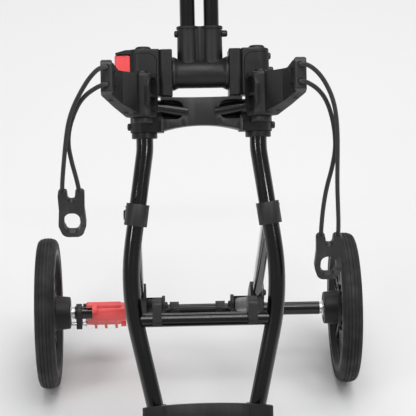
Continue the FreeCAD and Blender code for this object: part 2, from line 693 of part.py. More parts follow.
def console():
    """An open tray held on the front of the handle tubes, with a lidded top."""
    rectangle = [(-CONSOLE_HALF, CONSOLE_FRONT), (CONSOLE_HALF, CONSOLE_FRONT),
                 (CONSOLE_HALF, CONSOLE_BACK), (-CONSOLE_HALF, CONSOLE_BACK)]
    shell = plan_slab(rectangle, 12, CONSOLE_LOW, CONSOLE_HIGH)
    shell = eased(shell, 5, flat_at(CONSOLE_LOW))
    inside = [(-CONSOLE_HALF + 3, CONSOLE_FRONT + 3), (CONSOLE_HALF - 3, CONSOLE_FRONT + 3),
              (CONSOLE_HALF - 3, CONSOLE_BACK - 3), (-CONSOLE_HALF + 3, CONSOLE_BACK - 3)]
    hollow = plan_slab(inside, 9, CONSOLE_LOW + 3, CONSOLE_HIGH + 1)
    saddle = side_slab([(CONSOLE_BACK - 2, 950), (CONSOLE_BACK + 8, 950), (CONSOLE_BACK + 26, 982),
                        (CONSOLE_BACK - 2, 982)], 0, -33, 33)
    parts = [shell, saddle]
    for side in (-1, 1):
        ear = side_slab([(LID_HINGE_Y - 4, LID_HINGE_Z + 4), (CONSOLE_FRONT + 2, CONSOLE_HIGH),
                         (CONSOLE_FRONT + 2, CONSOLE_HIGH - 14), (LID_HINGE_Y - 4, LID_HINGE_Z - 4)],
                        [3.9, 0, 0, 3.9], 51, 56)
        parts.append(ear if side > 0 else mirrored(ear))
    whole = joined(parts).cut(hollow)
    to_row = FRAME.toMatrix()
    for side in (-1, 1):
        tube = rod(HANDLE_R, (side * HANDLE_X, 0, 100), (side * HANDLE_X, 0, 300)).transformGeometry(to_row)
        whole = whole.cut(tube)
    return whole.cut(rod(LID_PIN_R, (-60, LID_HINGE_Y, LID_HINGE_Z), (60, LID_HINGE_Y, LID_HINGE_Z)))


feature("console", console())


def accessory_socket():
    """A round cup beside the console that takes an umbrella's stem."""
    cup = rod(SOCKET_BORE + 4, (SOCKET_X, SOCKET_Y, SOCKET_LOW), (SOCKET_X, SOCKET_Y, SOCKET_HIGH))
    cup = eased(cup, 2, flat_at((SOCKET_LOW, SOCKET_HIGH)))
    link = box(CONSOLE_HALF, SOCKET_X - 6, SOCKET_Y - 9, SOCKET_Y + 9, 952, 980)
    bore = rod(SOCKET_BORE, (SOCKET_X, SOCKET_Y, SOCKET_LOW + 5), (SOCKET_X, SOCKET_Y, SOCKET_HIGH + 1))
    return joined([cup, link]).cut(bore)


feature("accessory_socket", accessory_socket())


def console_lid():
    """A flat lid with a hinge barrel along its front edge."""
    plate = plan_slab([(-CONSOLE_HALF, CONSOLE_FRONT), (CONSOLE_HALF, CONSOLE_FRONT),
                       (CONSOLE_HALF, CONSOLE_BACK), (-CONSOLE_HALF, CONSOLE_BACK)], 12,
                      CONSOLE_HIGH + 0.4, CONSOLE_HIGH + 4)
    plate = eased(plate, 1.5, flat_at(CONSOLE_HIGH + 4))
    barrel = rod(4, (-50.5, LID_HINGE_Y, LID_HINGE_Z), (50.5, LID_HINGE_Y, LID_HINGE_Z))
    tongue = box(-50.5, 50.5, LID_HINGE_Y, CONSOLE_FRONT + 4, CONSOLE_HIGH + 1, CONSOLE_HIGH + 4)
    whole = joined([plate, barrel, tongue])
    for side in (-1, 1):
        notch = box(50.5, 57, LID_HINGE_Y - 6, CONSOLE_FRONT + 3, CONSOLE_HIGH - 5, CONSOLE_HIGH + 6)
        whole = whole.cut(notch if side > 0 else mirrored(notch))
    whole = whole.cut(rod(LID_PIN_R + PLAY, (-60, LID_HINGE_Y, LID_HINGE_Z), (60, LID_HINGE_Y, LID_HINGE_Z)))
    return whole.Solids[0]


feature("console_lid", console_lid())
lid_pin = primitive("Part::Cylinder", "lid_pin",
                    Placement(Vector(-56, LID_HINGE_Y, LID_HINGE_Z), ALONG_X),
                    Radius=f"{LID_PIN_R}", Height="112")
keep(lid_pin, "lid_pin")


# ---------------------------------------------------------------- bag arms, cords and clips

PLATE_IN, PLATE_OUT, PLATE_BACK, PLATE_FRONT, PLATE_LOW, PLATE_HIGH = 139, 157, -175, -181, -41, 8
HOLE_X, HOLE_R, HOLE_UPPER, HOLE_LOWER = 148, 4.2, -3, -29
ARM_END_TURN = 20
UNDERSIDE_Y, UNDERSIDE_Z = -62, ARM_LOW
UNDERSIDE_RISE = (PLATE_LOW - ARM_LOW) / (UNDERSIDE_Y - PLATE_FRONT)
UNDERSIDE_NORMAL = Vector(0, -UNDERSIDE_RISE, -1).normalize()


def arm_end_solids():
    """The oval inner end of an arm, what is cut away in front of it and inside it, and its rib."""
    end = prism(outline([(-34.5, -22), (34.5, -22), (34.5, 22), (-34.5, 22)], 21.9), 0, 19, ALONG_X)
    end = eased(end, 2, lambda b: b.XMin > 18.9)
    beyond = box(19, 40, -40, 40, -50, 50)
    recess = prism(outline([(-29, -16.5), (29, -16.5), (29, 16.5), (-29, 16.5)], 16.4), 10, 25, ALONG_X)
    rib = box(9, 16, -17, 17, -2.5, 2.5)
    for piece in (end, beyond, recess, rib):
        piece.rotate(Vector(), Z_AXIS, 180 + ARM_END_TURN)
        piece.translate(Vector(ARM_X, ARM_Y, (ARM_LOW + ARM_HIGH) / 2))
    return end, beyond, recess, rib


def plate_corner(x, inward, radius=4):
    """What is cut from an upper corner of the end plate to round it."""
    middle, outside = x + inward * radius, x - inward
    block = box(min(outside, middle), max(outside, middle), -190, -150, PLATE_HIGH - radius, PLATE_HIGH + 1)
    return block.cut(rod(radius, (middle, -190, PLATE_HIGH - radius), (middle, -150, PLATE_HIGH - radius)))


def arm():
    """A bag arm: a hinge barrel, a thick curved panel, and an end plate with two cord holes."""
    barrel = rod(ARM_BARREL_R, (ARM_X, ARM_Y, ARM_LOW), (ARM_X, ARM_Y, ARM_HIGH))
    barrel = eased(barrel, 5, flat_at((ARM_LOW, ARM_HIGH)))
    heights = prism(outline(
        [(-30, ARM_LOW), (-62, ARM_LOW), (PLATE_FRONT, PLATE_LOW), (PLATE_FRONT, PLATE_HIGH),
         (-166, PLATE_HIGH), (-140, ARM_HIGH - 1), (-80, ARM_HIGH - 1), (-30, ARM_HIGH - 5)],
        [0, 30, 3, 9, 5, 12, 20, 0]), 60, 180, SIDE_VIEW)
    panel = plan_slab(
        [(110, -36), (121, -62), (140, -112), (PLATE_OUT, -164), (PLATE_OUT, PLATE_FRONT),
         (PLATE_IN, PLATE_FRONT), (PLATE_IN, PLATE_BACK), (142, -170), (124, -122), (104, -88), (92, -66)],
        [0, 20, 40, 14, 2, 2, 1.5, 3, 30, 14, 0], -90, 20)
    trough = plan_slab(
        [(116, -66), (134, -112), (147, -154), (141, -154), (127, -114), (109, -78)],
        [2, 30, 2, 2, 30, 2], ARM_HIGH - 6, 20)
    end, beyond, recess, rib = arm_end_solids()
    panel = panel.common(heights)
    for x, inward in ((PLATE_OUT, -1), (PLATE_IN, 1)):
        panel = panel.cut(plate_corner(x, inward))
    whole = joined([barrel, panel, end]).cut(trough).cut(beyond).cut(recess)
    whole = joined([whole, rib])
    for low in (-16, -39):
        whole = whole.cut(box(120, 143, -158, -149, low, low + 9))
    for height in (HOLE_UPPER, HOLE_LOWER):
        whole = whole.cut(rod(HOLE_R, (HOLE_X, -160, height), (HOLE_X, -190, height)))
    for x, y in ((143, -140), (121, -82)):
        seat = Vector(x, y, UNDERSIDE_Z + (UNDERSIDE_Y - y) * UNDERSIDE_RISE)
        screw = headed(3.8, 2.2, seat + UNDERSIDE_NORMAL * -1, UNDERSIDE_NORMAL)
        whole = joined([whole, screw])
    return whole.cut(rod(PIN_R + PLAY, (ARM_X, ARM_Y, -90), (ARM_X, ARM_Y, 0)))


left_arm = arm()
feature("arm_l", left_arm, FRAME)
feature("arm_r", mirrored(left_arm), FRAME)

# Each cord is one elastic loop: out of the upper hole of its end plate, down through
# the clip and back up into the lower hole. Points in the row frame.
CORD_ROUTE_R = (
    (-148, -47.4, 845.4), (-148.5, -63.5, 853.5), (-160, -75, 855), (-174, -84.5, 843),
    (-188, -89.5, 821), (-199, -90, 798), (-207, -90, 774), (-212.5, -89.5, 742),
    (-217.5, -89.5, 702), (-221, -89, 672), (-222.5, -89.3, 649), (-222, -89, 626),
    (-195, -89, 626), (-195.2, -88.5, 649), (-199, -85.5, 672), (-205.5, -82, 700),
    (-210, -79.5, 730), (-207, -79.5, 757),
    (-199, -80.5, 782), (-189, -82, 804), (-176, -83.5, 819), (-161, -81, 828),
    (-149, -74.8, 830), (-148, -60.4, 822.9),
)
CORD_ROUTE_L = (
    (148, -47.4, 845.4), (148.5, -63.5, 853.5), (160, -75, 855), (175, -84, 844),
    (188, -89, 823), (197, -90, 799), (202, -90, 772), (205, -89.5, 740),
    (206.5, -89.5, 700), (208, -89, 655), (211, -89, 614), (213.2, -89.2, 582),
    (213, -89.4, 559), (212.5, -89, 537), (185.5, -89, 537), (185.7, -88.5, 559),
    (186.2, -86.5, 584), (188.2, -84, 616), (192.5, -82, 649), (200, -80, 682),
    (204, -79, 716), (201, -79, 748), (194, -80, 778), (185, -82, 802),
    (173, -83.5, 819), (160, -81, 828), (149, -74.8, 830), (148, -60.4, 822.9),
)


def cord(route, radius):
    """A round cord along straight runs joined by tangent arcs."""
    spots = [Vector(*point) for point in route]
    radii = []
    for before, spot, after in zip(spots, spots[1:], spots[2:]):
        turn = (spot - before).getAngle(after - spot)
        shorter = min((spot - before).Length, (after - spot).Length)
        radii.append(0.45 * shorter / math.tan(turn / 2))
    spine = bend(route, radii)
    section = Part.Wire([Part.Circle(spots[0], spots[1] - spots[0], radius).toShape()])
    tube = spine.makePipeShell([section], True, False, 1)
    print(f"cord: length {spine.Length:.1f}, least bend {min(radii):.1f},",
          f"volume over section times length {tube.Volume / (math.pi * radius ** 2 * spine.Length):.4f}")
    return tube.Solids[0] if tube.Solids else tube


CLIP_THICK, CLIP_HALF, CLIP_ABOVE, CLIP_BELOW = 15, 22, 28, 52


def cord_clip(route, corner_index):
    """A finger clip on the cord's loop: two lobes above, a web that holds the cord, a ring below."""
    down, up = Vector(*route[corner_index]), Vector(*route[corner_index + 1])
    x, y, web = (down.x + up.x) / 2, down.y, down.z
    top, low = web + CLIP_ABOVE, web - CLIP_BELOW
    body = front_slab(
        [(x - 15, low), (x + 15, low), (x + CLIP_HALF, low + 20), (x + 20, web - 4),
         (x + 21, top), (x + 6.5, top), (x + 5.5, web + 11), (x - 5.5, web + 11), (x - 6.5, top),
         (x - 21, top), (x - 20, web - 4), (x - CLIP_HALF, low + 20)],
        [12, 12, 12, 14, 6, 5, 5, 5, 5, 6, 14, 12], y - CLIP_THICK / 2, y + CLIP_THICK / 2)
    finger = front_slab([(x - 8, low + 8), (x + 8, low + 8), (x + 13, low + 20), (x + 12, web - 9),
                         (x - 12, web - 9), (x - 13, low + 20)],
                        [6, 6, 8, 11, 11, 8], y - 20, y + 20)
    return body.cut(finger).cut(cord(route, CORD_R - 0.05))


feature("cord_r", cord(CORD_ROUTE_R, CORD_R))
feature("cord_l", cord(CORD_ROUTE_L, CORD_R))
feature("cord_clip_r", cord_clip(CORD_ROUTE_R, 11))
feature("cord_clip_l", cord_clip(CORD_ROUTE_L, 13))


# ---------------------------------------------------------------- rear legs and crossbar

AXLE_BAR = Placement(REAR_AXLE, Rotation())
LEG_LOW, LEG_TOP_GAP = 72, 15
LEG_OVAL = (18, 30)
STUB_START, STUB_END = CROSS_HALF - 18, 315
KNUCKLE_IN, KNUCKLE_OUT, CLEVIS_IN, CLEVIS_OUT = 99, 125, 63, 69
FITTING_IN, FITTING_OUT, FITTING_R = 69.5, 98.5, 13
stay_pivot_on_leg = LEG.inverse().multVec(STAY_PIVOT)
KY, KZ = stay_pivot_on_leg.y, stay_pivot_on_leg.z

keep(hollow_tube("crossbar", "sizes.cross_r", "sizes.cross_r - sizes.wall", "2 * sizes.cross_half",
                 AXLE_BAR.multiply(Placement(Vector(-CROSS_HALF, 0, 0), ALONG_X))), "crossbar")


def axle_stub(side):
    """A stepped axle: a plug inside the crossbar, a collar against its end, and the wheel's axle."""
    plug = rod(CROSS_R - WALL, (side * STUB_START, 0, 0), (side * CROSS_HALF, 0, 0))
    collar = rod(CROSS_R - 1.2, (side * CROSS_HALF, 0, 0), (side * (CROSS_HALF + 5), 0, 0))
    axle = rod(STUB_R, (side * CROSS_HALF, 0, 0), (side * STUB_END, 0, 0))
    return joined([plug, collar, axle])


feature("axle_stubs", Part.makeCompound([axle_stub(-1), axle_stub(1)]), AXLE_BAR)


def oval(wide, deep):
    """A rounded-end section, the two flats facing sideways."""
    half, radius = wide / 2, wide / 2 - 0.01
    return outline([(-half, -deep / 2), (half, -deep / 2), (half, deep / 2), (-half, deep / 2)], radius)


bunch("legs", [
    padded_body(f"leg_{name}", oval(*LEG_OVAL) + oval(LEG_OVAL[0] - 4, LEG_OVAL[1] - 4),
                f"{LEG_LONG - LEG_LOW - LEG_TOP_GAP}",
                LEG.multiply(Placement(Vector(side * LEG_X, 0, LEG_LOW), Rotation())))
    for name, side in (("r", -1), ("l", 1))])


def leg_eye(side):
    """The top of a leg: an eye on the pivot pin, with a plug inside the leg."""
    end = LEG_LONG - LEG_TOP_GAP
    head = side_slab([(-14.5, end), (14.5, end), (13, end + 10), (12, LEG_LONG + 12), (-12, LEG_LONG + 12),
                      (-13, end + 10)], [0, 0, 3, 11.5, 11.5, 3], LEG_X - LEG_HALF, LEG_X + LEG_HALF)
    plug = prism(oval(LEG_OVAL[0] - 4, LEG_OVAL[1] - 4), end - 22, end)
    plug.translate(Vector(LEG_X, 0, 0))
    whole = joined([head, plug])
    whole = whole.cut(rod(PIN_R + PLAY, (80, 0, LEG_LONG), (140, 0, LEG_LONG)))
    return whole if side > 0 else mirrored(whole)


feature("leg_eyes", Part.makeCompound([leg_eye(-1), leg_eye(1)]), LEG)


def knuckle(side):
    """A leaf-shaped casting: clamped on the crossbar, socketed for the leg, forked for the stay."""
    leaf = side_slab(
        [(-14, -22), (14, -22), (22, -8), (25, 45), (17, 112), (-17, 112), (-33, 60), (-22, -8)],
        [14, 14, 14, 30, 8, 8, 22, 14], KNUCKLE_IN, KNUCKLE_OUT)
    leaf = eased(leaf, 3, lambda b: b.XLength < 1e-4 and b.XMin > KNUCKLE_OUT - 1)
    cheek = side_slab([(KY - 16, KZ - 16), (KY + 16, KZ - 16), (KY + 16, KZ + 16), (KY - 16, KZ + 16)],
                      15.5, CLEVIS_IN, CLEVIS_OUT)
    band = ring(20, FITTING_R + 2.5, (CLEVIS_IN, KY, KZ), (KNUCKLE_IN + 1, KY, KZ))
    keep_low = side_slab([(KY - 30, KZ - 30), (KY + 30, KZ - 30), (KY + 30, KZ + 2), (KY - 30, KZ - 34)],
                         0, CLEVIS_IN - 1, KNUCKLE_IN + 2)
    cheek = joined([cheek, rod(20, (CLEVIS_IN, KY, KZ), (CLEVIS_OUT, KY, KZ))])
    whole = joined([leaf, cheek, band.common(keep_low)])
    whole = whole.cut(rod(CROSS_R, (60, 0, 0), (140, 0, 0)))
    socket = prism(oval(*LEG_OVAL), LEG_LOW, 140)
    socket.translate(Vector(LEG_X, 0, 0))
    whole = whole.cut(socket)
    whole = whole.cut(rod(PIN_R, (CLEVIS_IN - 5, KY, KZ), (KNUCKLE_IN + 12, KY, KZ)))
    return whole if side > 0 else mirrored(whole)


feature("knuckles", Part.makeCompound([knuckle(-1), knuckle(1)]), LEG)


def stay_pin(side):
    shank = rod(PIN_R, (side * CLEVIS_IN, KY, KZ), (side * (KNUCKLE_IN + 12), KY, KZ))
    return joined([shank, headed(8, 5, (side * CLEVIS_IN, KY, KZ), (-side, 0, 0))])


def rear_bolts():
    bolts = []
    for side in (-1, 1):
        bolts.append(stay_pin(side))
        bolts.append(headed(6, 5, (side * KNUCKLE_OUT, 0, 92), (side, 0, 0)))
        bolts.append(headed(6, 5, (side * KNUCKLE_OUT, -2, 36), (side, 0, 0)))
    return bolts


feature("rear_bolts", Part.makeCompound(rear_bolts()), LEG)


def saddle():
    """A small bolted saddle on the crossbar, just inboard of a knuckle."""
    strap = side_slab([(-17, -17), (17, -17), (17, 17), (-17, 17)], 15, 36, 54)
    bolt = rod(4.5, (45, 0, 12), (45, 0, 22))
    strap = joined([strap, rod(7, (45, 0, 10), (45, 0, 19)), bolt])
    return strap.cut(rod(CROSS_R, (30, 0, 0), (60, 0, 0)))


feature("crossbar_saddles", Part.makeCompound([saddle(), mirrored(saddle())]), LEG)


# ---------------------------------------------------------------- stays and their hooks

STAY_OVAL, STAY_LOW, STAY_HIGH = (15, 26), 18, 408
BAR_OFF = STAY.inverse().multVec(FRAME.multVec(Vector(0, 0, LATCH_Z)))
HY, HZ = BAR_OFF.y, BAR_OFF.z
JAW_R = BAR_R + 0.4

bunch("stays", [
    padded_body(f"stay_{name}", oval(*STAY_OVAL) + oval(STAY_OVAL[0] - 4, STAY_OVAL[1] - 4),
                f"{STAY_HIGH - STAY_LOW}",
                STAY.multiply(Placement(Vector(side * STAY_X, 0, STAY_LOW), Rotation())))
    for name, side in (("r", -1), ("l", 1))])


def stay_foot(side):
    """The lower end fitting of a stay, with the eye for its pivot pin."""
    eye = rod(FITTING_R, (FITTING_IN, 0, 0), (FITTING_OUT, 0, 0))
    neck = side_slab([(-11, 0), (11, 0), (13, STAY_LOW), (-13, STAY_LOW)], 0, STAY_X - 7.5, STAY_X + 7.5)
    plug = prism(oval(STAY_OVAL[0] - 4, STAY_OVAL[1] - 4), STAY_LOW, STAY_LOW + 22)
    plug.translate(Vector(STAY_X, 0, 0))
    whole = joined([eye, neck, plug]).cut(rod(PIN_R + PLAY, (60, 0, 0), (110, 0, 0)))
    return whole if side > 0 else mirrored(whole)


feature("stay_feet", Part.makeCompound([stay_foot(-1), stay_foot(1)]), STAY)


def stay_hook(side):
    """The hook at a stay's upper end, which drops over the latch bar."""
    plug = prism(oval(STAY_OVAL[0] - 4, STAY_OVAL[1] - 4), STAY_HIGH - 22, STAY_HIGH)
    plug.translate(Vector(STAY_X, 0, 0))
    hook = side_slab(
        [(-13, STAY_HIGH), (13, STAY_HIGH), (13, HZ + 10), (4, HZ + 23), (HY - 4, HZ + 23),
         (HY - 12, HZ + 11), (HY - 6, HZ + 11), (HY + 9, HZ + 4), (HY + 9, HZ - 16), (-13, HZ - 24)],
        [0, 0, 8, 8, 5, 2, 0, 0, 3, 6], STAY_X - 7.5, STAY_X + 7.5)
    whole = joined([plug, hook])
    whole = whole.cut(rod(JAW_R, (60, HY, HZ), (100, HY, HZ)))
    return whole if side > 0 else mirrored(whole)


feature("stay_hooks", Part.makeCompound([stay_hook(-1), stay_hook(1)]), STAY)


# ---------------------------------------------------------------- wheels

def polar(radius, degrees):
    angle = math.radians(degrees)
    return radius * math.cos(angle), radius * math.sin(angle)


def window(inner, outer, half_angle):
    """A rounded triangle between two spokes: its sides bow out, its point is near the hub."""
    middle = (inner + outer) / 2
    half = [polar(outer, half_angle), polar(outer, half_angle / 3)]
    side = polar(middle, half_angle * 0.82)
    points = [(inner, 0), (side[0], -side[1]), (half[0][0], -half[0][1]), (half[1][0], -half[1][1]),
              half[1], half[0], side]
    bow, arch = 0.55 * outer, 0.85 * outer
    return outline(points, [8, bow, 6, arch, arch, 6, bow])


def turned(curves, degrees):
    """Curves turned about the origin in their own plane."""
    for curve in curves:
        curve.rotate(Placement(ORIGIN, Rotation(Z_AXIS, degrees)))
    return curves


BRAKE_CIRCLE, BRAKE_PIN_ANGLE, BRAKE_PIN_R = 23, 255, 3.5


def rim(label, place, radius, hub_out, hub_in):
    """A moulded wheel: hub, six dished spokes and the seat of the tyre. Z is its axle."""
    felloe = radius - 23
    profile = outline([
        (9, -hub_out), (19, -hub_out), (22, -14), (40, -8), (felloe - 12, -8), (felloe - 8, -18),
        (felloe + 2, -18), (felloe, -10), (felloe, 10), (felloe + 2, 18), (felloe - 8, 18),
        (felloe - 12, 8), (40, 8), (34, 15), (31, hub_in), (9, hub_in)],
        [0, 2, 3, 4, 3, 0, 0, 0, 0, 0, 0, 3, 4, 3, 2, 0])
    body = revolved_body(label, profile)
    patterned(body, "Pocket", f"{label}_windows", window(48, felloe - 14, 21), 6)
    groove = outline([(50, -5), (felloe - 18, -9), (felloe - 18, 9), (50, 5)], 4.5)
    patterned(body, "Pocket", f"{label}_spoke_grooves", turned(groove, 30), 6, 8, 8)
    ribs = outline([(29, -1.5), (46, -1.5), (46, 1.5), (29, 1.5)])
    patterned(body, "Pad", f"{label}_ribs", turned(ribs, 15), 12, 7, 5)
    hole = [Part.Circle(Vector(BRAKE_CIRCLE, 0, 0), Z_AXIS, 4.3)]
    patterned(body, "Pocket", f"{label}_brake_holes", turned(hole, 15), 12, hub_in, 14)
    body.Placement = place
    return keep(body, label)


def tyre(label, place, radius):
    """A solid tyre that sits in the rim's seat. Z is its axle."""
    felloe = radius - 23
    profile = outline([(felloe, -10), (felloe + 2, -18), (radius - 9, -19), (radius - 2, -13),
                       (radius, -4), (radius, 4), (radius - 2, 13), (radius - 9, 19), (felloe + 2, 18),
                       (felloe, 10)], [0, 0, 4, 5, 6, 6, 5, 4, 0, 0])
    body = revolved_body(label, profile)
    body.Placement = place
    return keep(body, label)


def bush(label, place, low, high):
    """A plain bearing between the axle and the wheel's hub, with a metal ring at its inner end."""
    outside = primitive("Part::Cylinder", f"{label}_outside", place, Radius="9", Height=f"{high - low}")
    inside = primitive("Part::Cylinder", f"{label}_inside", place, Radius="sizes.stub_r + sizes.play",
                       Height=f"{high - low}")
    for cylinder in (outside, inside):
        cylinder.Placement = place.multiply(Placement(Vector(0, 0, low), Rotation()))
    flange = primitive("Part::Cylinder", f"{label}_flange",
                       place.multiply(Placement(Vector(0, 0, high), Rotation())), Radius="15", Height="1.5")
    bore = primitive("Part::Cylinder", f"{label}_flange_bore",
                     place.multiply(Placement(Vector(0, 0, high - 1), Rotation())),
                     Radius="sizes.stub_r + sizes.play", Height="4")
    both = boolean("Part::Fuse", f"{label}_both", outside, flange)
    hollow = boolean("Part::Cut", f"{label}_hollow", both, inside)
    return keep(boolean("Part::Cut", label, hollow, bore), label)


HUB_OUT, HUB_IN = 22, 42
for name, side in (("r", -1), ("l", 1)):
    # Z points inboard, so the long side of the hub faces the middle of the cart.
    centre = Placement(REAR_AXLE + Vector(side * REAR_X, 0, 0), Rotation(Y_AXIS, -90 * side))
    rim(f"rear_rim_{name}", centre, REAR_R, HUB_OUT, HUB_IN)
    tyre(f"rear_tyre_{name}", centre, REAR_R)
    bush(f"rear_bush_{name}", centre, -HUB_OUT, HUB_IN)
front_centre = Placement(FRONT_AXLE, ALONG_X)
rim("front_rim", front_centre, FRONT_R, 30, 30)
tyre("front_tyre", front_centre, FRONT_R)
bush("front_bush", front_centre, -30, 30)


# ---------------------------------------------------------------- parking brake

BRAKE_ANGLE = -53
SLEEVE_LEFT, SLEEVE_RIGHT, SLEEVE_R = -205, -140, 18.5
PIN_Y = BRAKE_CIRCLE * math.cos(math.radians(BRAKE_PIN_ANGLE))
PIN_Z = BRAKE_CIRCLE * math.sin(math.radians(BRAKE_PIN_ANGLE))
AXLE_CAP_START = 313


def pedal():
    """The red pedal: a sleeve on the crossbar, a ribbed foot plate and a short lever."""
    sleeve = rod(SLEEVE_R, (SLEEVE_LEFT, 0, 0), (SLEEVE_RIGHT, 0, 0))
    turn = Placement(ORIGIN, Rotation(X_AXIS, BRAKE_ANGLE))
    parts = [sleeve]
    plate = plan_slab([(-222, 46), (-150, 46), (-150, 96), (-222, 96)], 10, 6, 13)
    plate = eased(plate, 2, flat_at((6, 13)))
    stem = plan_slab([(-204, 8), (-158, 8), (-154, 52), (-214, 52)], 0, 6, 13)
    webs = [box(x, x + 5, 6, 76, -8, 8) for x in (-204, -184, -163)]
    ridges = [eased(box(-214, -158, y, y + 3, 12, 15), 1, lambda b: b.ZMin > 14.9)
              for y in (58, 67, 76, 85)]
    for piece in [plate, stem] + webs + ridges:
        piece.Placement = turn.multiply(piece.Placement)
        parts.append(piece)
    lobe = side_slab([(-2, -10), (16, -14), (20, -30), (4, -38), (-8, -28)], [0, 6, 9, 9, 7], -150, -140)
    lever = side_slab([(-12, 8), (2, 18), (2, 24), (-22, 24), (-30, 16)], [0, 3, 3, 6, 6], -205, -196)
    top = side_slab([(-10, 17), (6, 15), (6, 21), (-10, 23)], [0, 2, 2, 2], -216, -150)
    parts += [lobe, lever, top]
    whole = joined(parts)
    whole = whole.cut(rod(3, (-213, -3, 19.5), (-230, -3, 19.5)))
    return whole.cut(rod(CROSS_R + PLAY, (SLEEVE_LEFT - 20, 0, 0), (SLEEVE_RIGHT + 10, 0, 0)))


feature("brake_pedal", pedal(), AXLE_BAR)


def brake_guide():
    """A bracket on the crossbar that carries the brake pin towards the wheel."""
    plate = side_slab([(-17, 16), (17, 16), (17, -10), (8, -31), (-19, -31), (-17, -10)],
                      [14, 14, 14, 8, 8, 14], -237, -226)
    plate = plate.cut(rod(CROSS_R, (-250, 0, 0), (-220, 0, 0)))
    return plate.cut(rod(BRAKE_PIN_R + PLAY, (-250, PIN_Y, PIN_Z), (-220, PIN_Y, PIN_Z)))


feature("brake_guide", brake_guide(), AXLE_BAR)
brake_pin = joined([rod(BRAKE_PIN_R, (-258, PIN_Y, PIN_Z), (-220, PIN_Y, PIN_Z)),
                    headed(5.5, 4, (-220, PIN_Y, PIN_Z), (1, 0, 0))])
feature("brake_pin", brake_pin, AXLE_BAR)
feature("brake_stud", headed(3, 10, (-213, -3, 19.5), (-1, 0, 0)), AXLE_BAR)
feature("axle_caps", Part.makeCompound([
    headed(11, 5, (side * AXLE_CAP_START, 0, 0), (side, 0, 0)).cut(
        rod(STUB_R, (side * 300, 0, 0), (side * STUB_END, 0, 0))) for side in (-1, 1)]), AXLE_BAR)


# ---------------------------------------------------------------- check and export

doc.recompute()
for made in doc.Objects:
    if "Invalid" in made.State or "Error" in made.State:
        raise RuntimeError(f"{made.Label}: {made.State}")
os.makedirs("parts", exist_ok=True)
whole_cart = FreeCAD.BoundBox()
for node in nodes:
    if node.Shape.isNull() or not node.Shape.isValid():
        raise RuntimeError(f"{node.Label}: shape is not usable")
    node.Shape.exportStep(f"parts/{node.Label}.step")
    whole_cart.add(node.Shape.BoundBox)
print(f"{len(nodes)} nodes; {whole_cart}")
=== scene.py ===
"""A three-wheeled golf push cart: cords, tyres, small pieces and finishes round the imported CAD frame."""
import json
import math

import bmesh
import bpy
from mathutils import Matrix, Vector


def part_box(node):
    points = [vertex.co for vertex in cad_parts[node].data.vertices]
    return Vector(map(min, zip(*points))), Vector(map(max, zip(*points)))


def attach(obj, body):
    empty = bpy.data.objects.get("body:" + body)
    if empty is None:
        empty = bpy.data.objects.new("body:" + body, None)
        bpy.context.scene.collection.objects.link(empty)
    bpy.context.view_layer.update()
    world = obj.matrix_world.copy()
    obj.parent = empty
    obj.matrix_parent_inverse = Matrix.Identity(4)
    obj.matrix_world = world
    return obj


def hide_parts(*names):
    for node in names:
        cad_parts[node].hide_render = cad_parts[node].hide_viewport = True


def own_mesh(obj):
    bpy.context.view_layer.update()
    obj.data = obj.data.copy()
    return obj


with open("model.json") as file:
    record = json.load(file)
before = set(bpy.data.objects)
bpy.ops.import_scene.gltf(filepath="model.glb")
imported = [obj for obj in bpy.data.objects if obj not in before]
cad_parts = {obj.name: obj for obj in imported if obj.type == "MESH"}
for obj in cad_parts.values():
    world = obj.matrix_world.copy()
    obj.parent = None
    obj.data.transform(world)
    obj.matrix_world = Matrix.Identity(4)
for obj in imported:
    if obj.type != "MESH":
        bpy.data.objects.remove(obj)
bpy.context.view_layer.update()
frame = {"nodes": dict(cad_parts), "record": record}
nodes = frame["nodes"]
scene = bpy.context.scene

# ------------------------------------------------------------------ places, from the frame

MM = 0.001
LEAN = math.radians(30)
ALONG_FRAME = Vector((0, math.sin(LEAN), math.cos(LEAN)))
OUT_OF_FRAME = Vector((0, -math.cos(LEAN), math.sin(LEAN)))


def node_centre(name):
    low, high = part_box(name)
    return (low + high) / 2


HINGE = node_centre("hinge_axle")


def on_frame(across, forward, along):
    """A place in millimetres from the handle's hinge, along the leaning frame's own axes."""
    return HINGE + Vector((across * MM, 0, 0)) + (OUT_OF_FRAME * forward + ALONG_FRAME * along) * MM


def add_object(name, data):
    """A new object in the scene that holds this mesh, curve, light or camera."""
    thing = bpy.data.objects.new(name, data)
    scene.collection.objects.link(thing)
    return thing


def aim(thing, place, target):
    """Points a camera or light at a target, its top up."""
    thing.location = place
    thing.rotation_euler = (target - place).to_track_quat("-Z", "Y").to_euler()


# ------------------------------------------------------------------ camera

VIEW_WIDTH, SENSOR = 0.682, 36.0
VIEW_X, VIEW_DOWN, VIEW_DISTANCE, VIEW_ASIDE = 8.5, 220.6, 2500, 82


def add_camera():
    """Looks squarely at the leaning frame, from a little towards its -X side."""
    target = on_frame(VIEW_X, 0, -VIEW_DOWN)
    place = on_frame(VIEW_X - VIEW_ASIDE, VIEW_DISTANCE, -VIEW_DOWN)
    data = bpy.data.cameras.new("camera")
    data.sensor_width = SENSOR
    data.lens = SENSOR * (place - target).length / VIEW_WIDTH
    scene.camera = add_object("camera", data)
    aim(scene.camera, place, target)


add_camera()

# ------------------------------------------------------------------ materials

BRAID_PITCH = 2.4 * MM
COAT_ROUGHNESS = 0.08
# How much paler a moulding is where its colour varies, and how far metal strays from its roughness.
PALER = 1.35
SMOOTHER, ROUGHER = 0.75, 1.3


